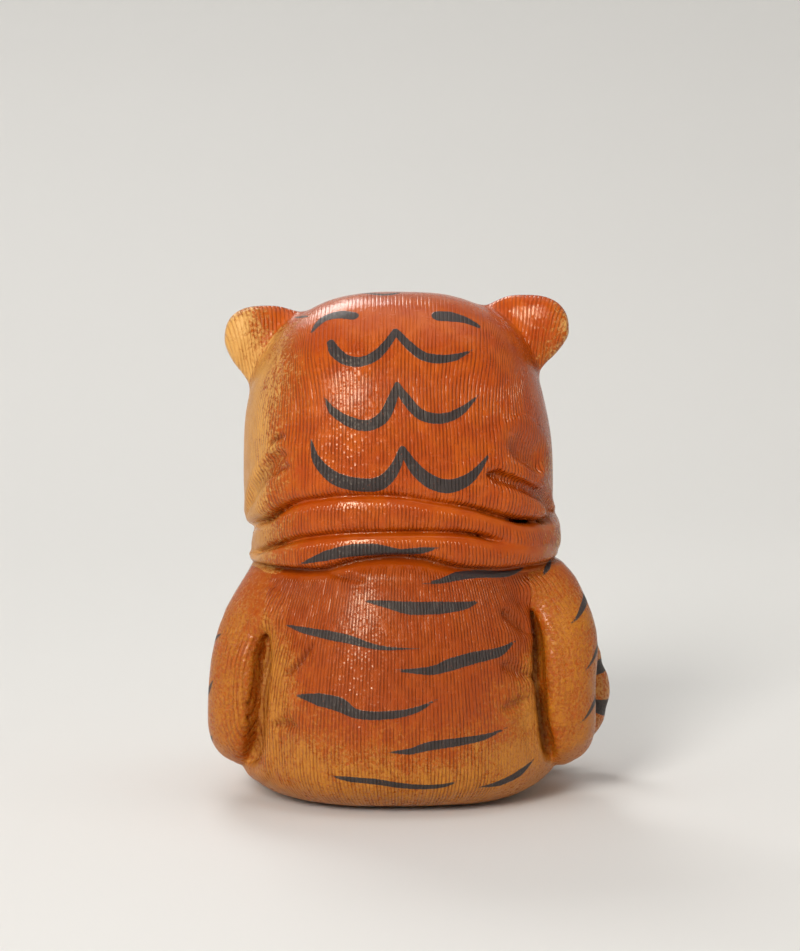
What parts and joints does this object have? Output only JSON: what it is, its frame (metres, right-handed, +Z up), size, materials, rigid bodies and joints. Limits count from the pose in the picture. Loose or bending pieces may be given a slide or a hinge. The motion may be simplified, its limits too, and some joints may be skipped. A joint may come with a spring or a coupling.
{
  "type": "tea pet",
  "caption": "Hollow stoneware tea pet: a plump sitting tiger with nape rolls, cupped ears, hanging arms, short legs and a curled tail.",
  "frame": {"origin": "middle of the base at table height", "axes": "+Z up; the tiger faces +Y and turns its back to -Y; its right side as seen from behind is +X"},
  "size_m": [0.0647, 0.0546, 0.0792],
  "materials": {
    "orange_slip": "combed, satin, burnished by tea",
    "ochre_clay": "fine-grained, satin",
    "dark_slip": "matt"
  },
  "bodies": {
    "root": {"torso": "orange_slip", "base_slab": "ochre_clay", "head": "orange_slip", "nape_roll_lower": "orange_slip", "nape_roll_upper": "orange_slip", "left_ear": "orange_slip", "right_ear": "orange_slip", "left_arm": "orange_slip", "right_arm": "orange_slip", "left_leg": "ochre_clay", "right_leg": "ochre_clay", "tail": "orange_slip", "chin": "ochre_clay", "left_muzzle_pad": "ochre_clay", "right_muzzle_pad": "ochre_clay", "nose": "dark_slip", "left_eye": "dark_slip", "right_eye": "dark_slip"}
  },
  "joints": []
}
